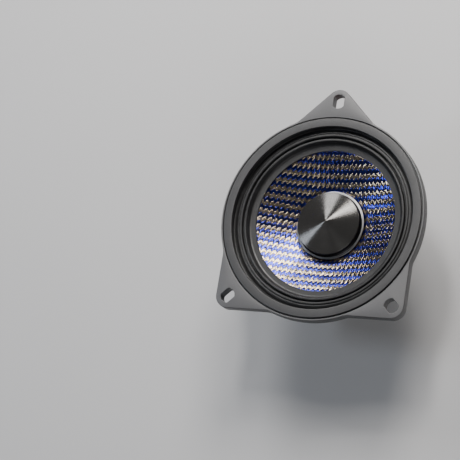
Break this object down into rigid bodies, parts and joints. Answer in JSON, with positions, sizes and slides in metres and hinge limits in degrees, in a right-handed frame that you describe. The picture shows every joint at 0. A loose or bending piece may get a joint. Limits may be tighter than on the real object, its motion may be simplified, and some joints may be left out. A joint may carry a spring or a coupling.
{
  "type": "car door speaker",
  "caption": "Round car door speaker with three slotted ears, woven cone, ribbed rubber surround, turned metal cap, open basket, polished magnet can and short leads with a plug.",
  "frame": {"origin": "centre of the magnet can's flat bottom, on the speaker's axis", "axes": "+Z along the speaker's axis out of the cone, +Y towards the single top ear, speaker lying face up"},
  "size_m": [0.1084, 0.1225, 0.054],
  "materials": {
    "black_plastic": "fine-grained satin moulding",
    "grey_trim": "matte dark grey",
    "polished_steel": "polished nickel plate",
    "plated_steel": "satin nickel plate",
    "ferrite": "matte sintered ferrite",
    "screw_steel": "black zinc",
    "former_film": "amber polyimide film",
    "copper": "enamelled copper wire",
    "woven_fibre": "glossy blue and cream twill weave",
    "collar_black": "semi-gloss black with a bright foot",
    "turned_aluminium": "finely turned, dark tint",
    "surround_rubber": "matte ribbed rubber",
    "amber_cloth": "resin-treated corrugated cloth",
    "terminal_board": "black laminate",
    "brass": "plated brass",
    "red_sleeve": "glossy red shrink sleeve",
    "black_sleeve": "satin black shrink sleeve",
    "red_lead": "red insulation",
    "grey_lead": "dark grey insulation",
    "plug_plastic": "satin moulding"
  },
  "bodies": {
    "frame": {"basket": "black_plastic", "front_trim_ring": "grey_trim", "magnet_can": "polished_steel", "t_yoke": "plated_steel", "ring_magnet": "ferrite", "top_plate": "plated_steel", "screw_1": "screw_steel", "screw_2": "screw_steel", "screw_3": "screw_steel", "screw_4": "screw_steel", "surround": "surround_rubber", "spider": "amber_cloth", "terminal_block": "terminal_board", "terminal_tab_plus": "screw_steel", "terminal_tab_minus": "screw_steel", "terminal_rivet_plus": "plated_steel", "terminal_rivet_minus": "plated_steel", "sleeve_plus": "red_sleeve", "sleeve_minus": "black_sleeve", "tinsel_lead_plus": "copper", "tinsel_lead_minus": "copper", "lead_plus": "red_lead", "lead_minus": "grey_lead", "plug_housing": "plug_plastic", "plug_contact_plus": "brass", "plug_contact_minus": "brass"},
    "cone_assembly": {"cone": "woven_fibre", "dust_cap": "turned_aluminium", "cap_collar": "collar_black", "voice_coil_former": "former_film", "voice_coil_winding": "copper"}
  },
  "joints": [
    {"name": "cone_travel", "type": "slide", "parent": "frame", "child": "cone_assembly", "axis": [0, 0, 1], "range_m": [-0.003, 0.003], "stiffness_N_per_m": 1000, "deforming": ["surround", "spider", "tinsel_lead_plus", "tinsel_lead_minus"]}
  ]
}
